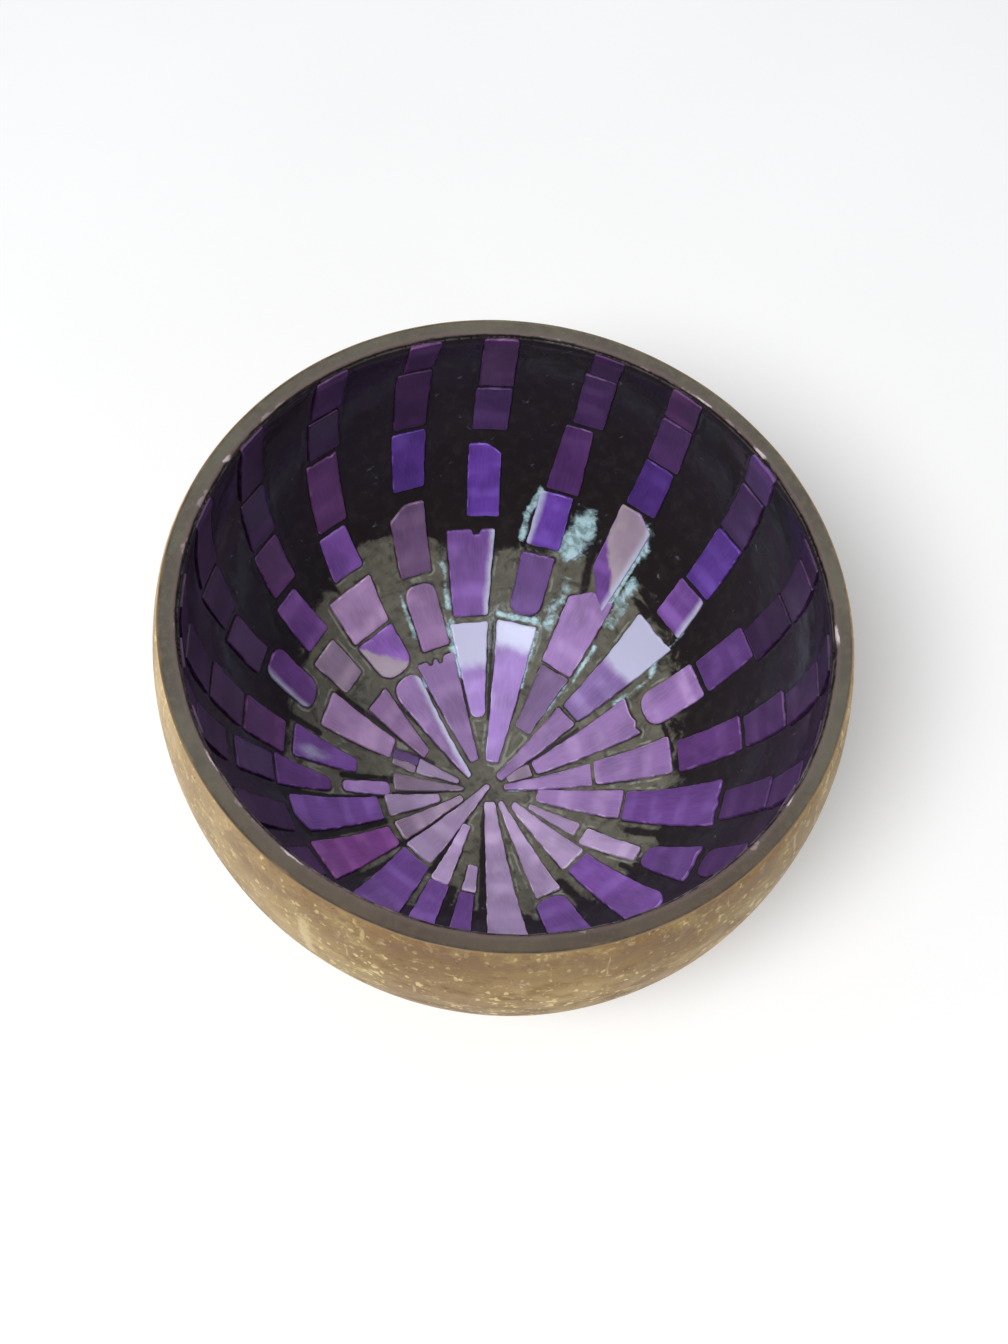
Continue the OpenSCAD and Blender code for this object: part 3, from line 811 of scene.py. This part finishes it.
class Nodes:
    """A short way to write the node tree of a material or a world."""

    def __init__(self, owner, output="ShaderNodeOutputMaterial"):
        owner.use_nodes = True
        self.owner = owner
        self.tree = owner.node_tree
        self.tree.nodes.clear()
        self.out = self.tree.nodes.new(output)

    def add(self, kind, values=None, **settings):
        """A node, with its settings, and its inputs as numbers, colours without alpha, or links."""
        node = self.tree.nodes.new(kind)
        for key, value in settings.items():
            setattr(node, key, value)
        for key, value in (values or {}).items():
            socket = node.inputs[key]
            if isinstance(value, bpy.types.NodeSocket):
                self.tree.links.new(value, socket)
            else:
                socket.default_value = (*value, 1) if socket.type == "RGBA" else value
        return node

    def surface(self, shader):
        self.tree.links.new(shader, self.out.inputs["Surface"])
        return self.owner

    def principled(self, **values):
        """Closes a material with the painted colour and with values, named as sockets with _ for blanks."""
        named = {key.replace("_", " "): value for key, value in values.items()}
        shader = self.add("ShaderNodeBsdfPrincipled", {"Base Color": self.colour, **named})
        return self.surface(shader.outputs[0])

    def noise(self, vector, scale, detail=2, roughness=0.5, distortion=0):
        values = {"Vector": vector, "Scale": scale, "Detail": detail, "Roughness": roughness,
                  "Distortion": distortion}
        return self.add("ShaderNodeTexNoise", values).outputs["Fac"]

    def stretch(self, vector, scale, turn=(0, 0, 0)):
        values = {"Vector": vector, "Scale": scale, "Rotation": turn}
        return self.add("ShaderNodeMapping", values).outputs[0]

    def split(self, vector):
        return self.add("ShaderNodeSeparateXYZ", {0: vector}).outputs

    def ramp(self, value, low, high, end=1, start=0):
        """Goes smoothly from start, where the value is at low, to end, where it is at high."""
        return self.add("ShaderNodeMapRange", {"Value": value, "From Min": low, "From Max": high,
                                               "To Min": start, "To Max": end},
                        interpolation_type="SMOOTHSTEP").outputs[0]

    def mix(self, share, a, b, blend="MIX"):
        values = {0: share, 6: a, 7: b}
        return self.add("ShaderNodeMix", values, data_type="RGBA", blend_type=blend).outputs[2]

    def paint(self, share, colour):
        """Lays a share of a colour over what is painted so far."""
        self.colour = self.mix(share, self.colour, colour)

    def math(self, operation, a, b=0):
        return self.add("ShaderNodeMath", {0: a, 1: b}, operation=operation).outputs[0]

    def plus(self, a, b):
        return self.math("ADD", a, b)

    def times(self, a, b):
        return self.math("MULTIPLY", a, b)

    def swing(self, value, size):
        """A noise turned to swing about zero, times a size."""
        return self.times(self.math("SUBTRACT", value, 0.5), size)

    def away(self, value, middle):
        """How far a value is from a middle one."""
        return self.math("ABSOLUTE", self.math("SUBTRACT", value, middle))

    def bump(self, height, strength, distance, **below):
        """The bent normal, over the one that is given as Normal."""
        values = {"Height": height, "Strength": strength, "Distance": distance, **below}
        return self.add("ShaderNodeBump", values).outputs[0]

    def read(self, name, output="Fac"):
        """An attribute of the mesh: a number, or with Vector three of them."""
        return self.add("ShaderNodeAttribute", attribute_name=name).outputs[output]

    def place(self):
        """Where the surface is in the part's frame, in metres."""
        return self.add("ShaderNodeTexCoord").outputs["Object"]


def pearl_material():
    """Dyed mother-of-pearl under clear lacquer: soft bands across each tile and a fine grain along it."""
    m = Nodes(bpy.data.materials.new("dyed_pearl"))
    spot, body, sheen = (m.read(name, "Vector") for name in ("place", "body", "sheen"))
    bent = m.noise(m.stretch(spot, (0.16, 0.12, 1)), 1)
    bands = m.add("ShaderNodeTexWave", {"Vector": m.stretch(spot, (0.02, 0.045, 0.31)), "Scale": 1,
                                        "Distortion": 5, "Detail": 2, "Detail Scale": 1.2},
                  wave_type="BANDS", bands_direction="Y").outputs["Fac"]
    clouds = m.noise(m.stretch(spot, (0.1, 0.07, 0.7)), 1, 3, 0.55, 0.6)
    grain = m.noise(m.stretch(spot, (2.6, 0.3, 1)), 1, 3, 0.6)
    m.colour = m.mix(m.times(m.ramp(bands, 0.25, 1), m.ramp(clouds, 0.3, 0.72)), body, sheen)
    m.paint(m.ramp(bent, 0.62, 0.3, 0.75), m.mix(1, body, (0.62, 0.62, 0.62), "MULTIPLY"))
    m.paint(m.ramp(grain, 0.38, 0.72, 0.22), sheen)
    bend = m.swing(m.noise(m.stretch(spot, (0.3, 0.18, 1)), 1, 3, 0.6), 3)
    # Painted reflections on the pearl: beige over one side of a fold, then pale blue-white over outer ends,
    # and painted highlights along edges and in streaks
    m.paint(m.ramp(m.plus(m.read("beige"), bend), -0.4, 0.6, 0.85),
            m.mix(m.ramp(clouds, 0.3, 0.7), (0.46, 0.37, 0.45), (0.66, 0.57, 0.57)))
    m.paint(m.ramp(m.plus(m.read("pale"), bend), -0.8, 2.2, 0.92), (0.66, 0.68, 0.9))
    # Pale tile edges: partly scraped dye, partly a painted bevel highlight
    scraped_and_glint = m.times(m.ramp(m.read("gap"), 0.22, 0.08),
                      m.ramp(m.noise(m.stretch(spot, (0.3, 0.3, 1)), 1), 0.5, 0.62, 0.7))
    m.paint(scraped_and_glint, m.mix(1, sheen, (1.5, 1.6, 1.4), "MULTIPLY"))
    bump = m.bump(clouds, 0.35, 0.0004, Normal=m.bump(grain, 0.1, 0.0001))
    return m.principled(Metallic=0.05, Roughness=m.ramp(clouds, 0.3, 0.7, 0.42, 0.3), IOR=1.5,
                        Specular_IOR_Level=0.35, Coat_Weight=0.35, Coat_Roughness=0.12, Coat_IOR=1.45,
                        Normal=bump)


def lacquer_material():
    """Black lacquer: deep gloss. Low down, around the tiles, it is olive from dust and a painted reflection,
    with black seams of painted shadow, painted shade by the tile edges, and painted highlights and glints
    on its ridges and lumps.
    """
    m = Nodes(bpy.data.materials.new("black_lacquer_gloss"))
    spot = m.place()
    dust = m.noise(spot, 420, 4, 0.6)
    brushed = m.noise(spot, 150, 3, 0.6)
    blots = m.noise(spot, 260, 4, 0.62, 1)
    amount, way_left, lump_glint = m.split(m.read("haze", "Vector"))
    edge = m.plus(m.read("edge"), m.swing(dust, 0.5))

    # The olive of dust and painted reflection ends in a mottled line and thins out in blots. Next to most
    # tiles it gives way to black, a painted shade, and it breaks off at the seams, which are painted shadow
    mottle = m.swing(m.noise(spot, 190, 4, 0.6, 0.6), 2.6)
    dust_and_reflection_share = m.times(amount, m.ramp(m.plus(way_left, mottle), -0.25, 0.25))
    dust_and_reflection_share = m.times(dust_and_reflection_share, m.ramp(blots, 0.32, 0.5, 1, 0.4))
    # Next to most tiles the olive gives way to black: a painted shade along the tile edges, except in patches
    # of noise
    ringed = m.ramp(m.noise(spot, 115, 3, 0.55), 0.44, 0.56)
    dust_and_reflection_share = m.times(dust_and_reflection_share, m.math("MAXIMUM", m.ramp(edge, 0.1, 0.55, 1, 0.1), ringed))
    # The seams: painted shadow, where the olive gives way to black
    crack = m.plus(m.read("crack"), m.swing(blots, 1.2))
    dust_and_reflection_share = m.times(dust_and_reflection_share, m.ramp(crack, 0.2, 0.75, 0.04, 1))
    m.colour = m.mix(m.ramp(dust, 0.3, 0.7), (0.125, 0.122, 0.092), (0.185, 0.18, 0.14))
    # A painted highlight along the lacquer's ridge, a little way out from the tile edges
    m.paint(m.times(m.ramp(m.away(edge, RIDGE_AWAY), 0.3, 0.1), m.ramp(brushed, 0.5, 0.6, 0.75)),
            (0.34, 0.36, 0.3))
    black = m.mix(m.ramp(dust, 0.45, 0.75), (0.021, 0.0175, 0.0185), (0.032, 0.027, 0.027))
    m.colour = m.mix(dust_and_reflection_share, black, m.colour)

    # Pale blue painted glints on the crinkled lumps
    lump_glint_share = m.plus(lump_glint, m.swing(m.noise(spot, 340, 4, 0.62, 0.6), 2.2))
    m.paint(m.ramp(lump_glint_share, 0.34, 0.98, 0.95),
            m.mix(m.ramp(m.noise(spot, 620, 3, 0.6), 0.36, 0.6), (0.26, 0.4, 0.42), (0.58, 0.84, 0.9)))
    # A painted highlight along the lacquer's top edge at the front
    front = m.ramp(m.split(spot)[1], -0.005, -0.045, 0.8, 0.15)
    front_edge_highlight = m.times(m.times(m.ramp(m.read("top"), 0.4, 0.12), front), m.ramp(dust, 0.36, 0.56, 1, 0.3))
    m.paint(front_edge_highlight, (0.25, 0.2, 0.19))
    bump = m.bump(dust, 0.12, 0.0002, Normal=m.bump(brushed, 0.18, 0.0005))
    return m.principled(Roughness=m.ramp(brushed, 0.3, 0.7, 0.22, 0.12), IOR=1.5, Specular_IOR_Level=0.22,
                        Normal=bump)


# A pale scratch that runs up the outside: its turn in radians from +X, and its height in metres
SCRATCH_TURN = math.radians(-120.7)
SCRATCH_UP = 0.058


def skin_material():
    """Sanded coconut shell: brown wood with clusters of short pale fibres and dark pores."""
    m = Nodes(bpy.data.materials.new("coconut_skin"))
    spot = m.place()
    x, y, z = m.split(spot)
    wide = m.noise(spot, 45, 3, 0.55, 0.5)
    clouds = m.noise(m.stretch(spot, (1, 1, 1.6)), 170, 4, 0.6, 0.4)
    groups = m.noise(spot, 90)
    fine = m.noise(m.stretch(spot, (1, 1, 2)), 1400, 3, 0.6)
    m.colour = m.mix(m.ramp(wide, 0.34, 0.66), (0.39, 0.238, 0.096), (0.6, 0.4, 0.155))
    m.paint(m.ramp(clouds, 0.42, 0.7, 0.7), (0.2, 0.108, 0.04))
    m.paint(m.ramp(fine, 0.42, 0.7, 0.4), (0.52, 0.38, 0.18))
    m.paint(m.ramp(m.plus(groups, m.times(clouds, 0.25)), 0.6, 0.78, 0.55), (0.6, 0.46, 0.2))

    # Pale fibres cut across: patches, then flecks of two sizes, then dots
    patches = m.noise(m.stretch(spot, (1, 1, 1.8)), 260, 5, 0.72)
    m.paint(m.ramp(m.plus(patches, m.times(groups, 0.3)), 0.68, 0.8, 0.75), (0.74, 0.55, 0.25))
    uneven = m.swing(m.noise(spot, 900, 3, 0.6), 1.3)
    for scale, size in ((330, 0.2), (700, 0.23)):
        stretched = m.stretch(spot, (1, 1, 0.75))
        cells = m.add("ShaderNodeTexVoronoi", {"Vector": stretched, "Scale": scale}).outputs
        some = m.times(m.split(cells["Color"])[0], 0.35)
        share = m.ramp(m.plus(groups, some), 0.63, 0.72, 0.92)
        fleck = m.ramp(m.plus(cells["Distance"], uneven), size + 0.07, size - 0.07)
        m.paint(m.times(fleck, share), (0.95, 0.76, 0.38))
    m.paint(m.ramp(m.noise(spot, 800), 0.67, 0.72, 0.85), (0.84, 0.65, 0.33))

    turn = m.plus(m.math("ARCTAN2", y, x), m.swing(fine, 0.05))
    scratch = m.times(m.ramp(m.away(turn, SCRATCH_TURN), 0.026, 0.008, 0.9),
                      m.ramp(m.away(z, SCRATCH_UP), 0.01, 0.006))
    m.paint(scratch, (0.86, 0.68, 0.38))
    # Paler towards the left: painted light on the side that faces the key lamp
    m.paint(m.times(m.ramp(x, -0.02, -0.055, 0.5), m.ramp(wide, 0.3, 0.6, 1, 0.4)), (0.92, 0.7, 0.42))
    ruddy = m.times(m.ramp(z, 0.058, 0.072, 0.75), m.ramp(y, -0.015, -0.05))
    m.paint(m.times(ruddy, m.ramp(clouds, 0.62, 0.4, 1, 0.3)), (0.21, 0.115, 0.06))
    scratches = m.noise(m.stretch(spot, (3.2, 3.2, 0.3)), 210, 2, 0.5, 0.1)
    m.paint(m.ramp(scratches, 0.7, 0.76, 0.6), (0.78, 0.6, 0.31))
    pores = m.noise(spot, 1300, 2, 0.5, 0.3)
    m.paint(m.ramp(pores, 0.68, 0.75, 0.65), (0.09, 0.05, 0.025))
    bump = m.bump(pores, -0.25, 0.0002, Normal=m.bump(clouds, 0.2, 0.0004))
    return m.principled(Roughness=m.ramp(clouds, 0.3, 0.7, 0.62, 0.45), IOR=1.45, Specular_IOR_Level=0.22,
                        Coat_Weight=0.05, Coat_Roughness=0.3, Coat_IOR=1.45, Normal=bump)


def rim_material():
    """The shell's cut face: dense grey-brown wood, and lacquer from its rubbed inner edge on, with white
    chips and painted highlights along that edge.
    """
    m = Nodes(bpy.data.materials.new("coconut_cut_face"))
    spot = m.place()
    wide = m.noise(spot, 70, 3, 0.55)
    fine = m.noise(spot, 900, 4, 0.6)
    ragged = m.noise(spot, 330, 4, 0.6, 0.5)
    front = m.ramp(m.split(spot)[1], -0.022, -0.056)
    m.colour = m.mix(m.ramp(wide, 0.35, 0.65), (0.058, 0.048, 0.036), (0.085, 0.078, 0.056))
    m.paint(m.ramp(fine, 0.4, 0.72, 0.5), (0.125, 0.108, 0.078))
    m.paint(front, m.mix(1, m.colour, (0.8, 0.64, 0.58), "MULTIPLY"))
    across = m.plus(m.read("across"), m.swing(ragged, 0.34))
    m.paint(m.ramp(across, 0.24, 0.06, 0.8), (0.25, 0.17, 0.09))
    m.paint(m.ramp(across, 0.62, 0.92, 0.6), (0.115, 0.075, 0.07))
    chips = m.ramp(m.noise(spot, 130, 4, 0.6), 0.5, 0.7, 0.15, -0.3)
    m.paint(m.ramp(m.plus(across, chips), 0.86, 0.98), (0.24, 0.18, 0.19))
    # Black lacquer inward of the edge, painted grey-plum at the front, partly as a painted highlight along
    # the edge
    m.paint(m.ramp(across, 0.96, 1.03), m.mix(front, (0.012, 0.01, 0.011), (0.17, 0.13, 0.125)))
    # White chips and painted highlights on the inner edge
    broken_and_glinting = m.plus(m.read("chip"), m.swing(fine, 1.2))
    m.paint(m.times(m.ramp(m.away(across, 0.95), 0.1, 0.03), m.ramp(broken_and_glinting, 0.4, 0.95)), (0.6, 0.5, 0.53))
    return m.principled(Roughness=m.ramp(fine, 0.3, 0.7, 0.55, 0.4), IOR=1.5, Specular_IOR_Level=0.4,
                        Coat_Weight=0.2, Coat_Roughness=0.3, Coat_IOR=1.5, Normal=m.bump(fine, 0.2, 0.0002))


def foot_material():
    """The foot, sanded flat through the skin: paler, with sanding marks."""
    m = Nodes(bpy.data.materials.new("coconut_foot"))
    spot = m.place()
    marks = m.noise(m.stretch(spot, (0.4, 3, 1), (0, 0, 0.5)), 500, 3, 0.6)
    m.colour = m.mix(m.ramp(m.noise(spot, 120, 3, 0.6), 0.3, 0.7), (0.17, 0.1, 0.055), (0.3, 0.2, 0.11))
    m.paint(m.ramp(marks, 0.4, 0.7, 0.5), (0.38, 0.27, 0.15))
    return m.principled(Roughness=0.62, IOR=1.5, Specular_IOR_Level=0.4, Normal=m.bump(marks, 0.3, 0.0002))


def white_behind(m, plain, white):
    """White for what the camera sees directly or in gloss, and plain light for the rest."""
    rays = m.add("ShaderNodeLightPath").outputs
    gloss = m.math("MAXIMUM", rays["Is Glossy Ray"], rays["Is Transmission Ray"])
    seen = m.math("MAXIMUM", rays["Is Camera Ray"], gloss)
    return m.add("ShaderNodeMixShader", {0: seen, 1: plain, 2: white}).outputs[0]


# The camera, as it stood over the real bowl, in mm and degrees. The frame's long side is 1344 pixels.
CAMERA_AT = (0.8, -175.7, 367.7)
CAMERA_DOWN = 60.86
CAMERA_ROLL = 0.3
FOCAL_PIXELS = 2000.0
FRAME_PIXELS = 1344.0
SENSOR_MM = 36.0


def build_camera():
    data = bpy.data.cameras.new("camera")
    data.sensor_fit = "AUTO"
    data.sensor_width = SENSOR_MM
    data.lens = FOCAL_PIXELS / FRAME_PIXELS * SENSOR_MM
    data.clip_start, data.clip_end = 0.01, 20.0
    camera = bpy.data.objects.new("camera", data)
    bpy.context.scene.collection.objects.link(camera)
    tilt = Matrix.Rotation(math.radians(90 - CAMERA_DOWN), 4, "X")
    roll = Matrix.Rotation(math.radians(CAMERA_ROLL), 4, "Z")
    camera.matrix_world = Matrix.Translation(Vector(CAMERA_AT) * MM) @ tilt @ roll
    bpy.context.scene.camera = camera


def area_light(name, towards, distance, size, power, colour, glossy=False, lights=None):
    """A round lamp in a direction from the bowl (turn and height in degrees), aimed at its middle. It is
    for matt light, or for gloss alone, and may light some objects only."""
    turn, up = (math.radians(v) for v in towards)
    data = bpy.data.lights.new(name, "AREA")
    data.shape = "DISK"
    data.size = size
    data.energy = power
    data.color = colour
    lamp = bpy.data.objects.new(name, data)
    lamp.visible_glossy = glossy
    lamp.visible_diffuse = not glossy
    aim = Vector((math.cos(up) * math.cos(turn), math.cos(up) * math.sin(turn), math.sin(up)))
    lamp.location = aim * distance + Vector((0, 0, HEIGHT / 2 * MM))
    lamp.rotation_euler = aim.to_track_quat("Z", "Y").to_euler()
    bpy.context.scene.collection.objects.link(lamp)
    if lights:
        lit = bpy.data.collections.new(f"lit_by_{name}")
        for ob in lights:
            lit.objects.link(ob)
        lamp.light_linking.receiver_collection = lit


def build_world(level):
    """Even light from all round, and white behind the floor."""
    world = bpy.data.worlds.new("studio")
    bpy.context.scene.world = world
    m = Nodes(world, "ShaderNodeOutputWorld")
    plain, white = (m.add("ShaderNodeBackground", {"Color": (1, 1, 1), "Strength": strength}).outputs[0]
                    for strength in (level, 1))
    m.surface(white_behind(m, plain, white))


def build_floor(glow):
    """A plain white floor. The share of glow keeps it white up to the frame's edges and keeps the shadow."""
    size, parts = 2.0, 8
    steps = np.linspace(-size, size, parts + 1) / MM
    points = [(x, y, 0) for y in steps for x in steps]
    row = parts + 1
    faces = [[j * row + i, j * row + i + 1, (j + 1) * row + i + 1, (j + 1) * row + i]
             for j in range(parts) for i in range(parts)]
    m = Nodes(bpy.data.materials.new("floor_white"))
    tone = m.mix(m.ramp(m.noise(m.place(), 6, 3), 0.3, 0.7), (0.79, 0.8, 0.815), (0.82, 0.83, 0.845))
    matt, dull = (m.add("ShaderNodeBsdfDiffuse", {"Color": colour}).outputs[0]
                  for colour in (tone, (0.6, 0.6, 0.6)))
    lit = m.add("ShaderNodeEmission", {"Color": (1, 1, 1), "Strength": glow}).outputs[0]
    both = m.add("ShaderNodeAddShader", {0: matt, 1: lit}).outputs[0]
    floor = make_object("floor", points, faces, [m.surface(white_behind(m, dull, both))])
    return floor


build_camera()
build_world(0.30)
floor = build_floor(0.22)

shell = build_shell({"skin": skin_material(), "rim": rim_material(), "foot": foot_material()})
pearl = pearl_material()
rng = random.Random(SEED)
stars, star_tiles = build_tiles("star_petals", STAR_TILES, rng, pearl)
walls, wall_tiles = build_tiles("wall_tiles", WALL_TILES, rng, pearl)
lining = build_lining(star_tiles + wall_tiles, lacquer_material())

# A soft light from behind for the bowl alone, and more of the key for the floor alone, give one clear shadow
area_light("key", (236, 57), 1.6, 0.66, 13.5, (1.0, 0.995, 0.985))
area_light("window", (248, 57), 0.8, 0.22, 1.0, (0.78, 0.93, 1.0), glossy=True)
area_light("fill", (115, 72), 1.2, 1.2, 6.0, (1.0, 1.0, 1.0), lights=[shell, lining, *stars, *walls])
area_light("floor_key", (240, 57), 2.6, 0.95, 22.0, (1.0, 1.0, 1.0), lights=[floor])

bpy.context.scene.view_settings.view_transform = "Standard"
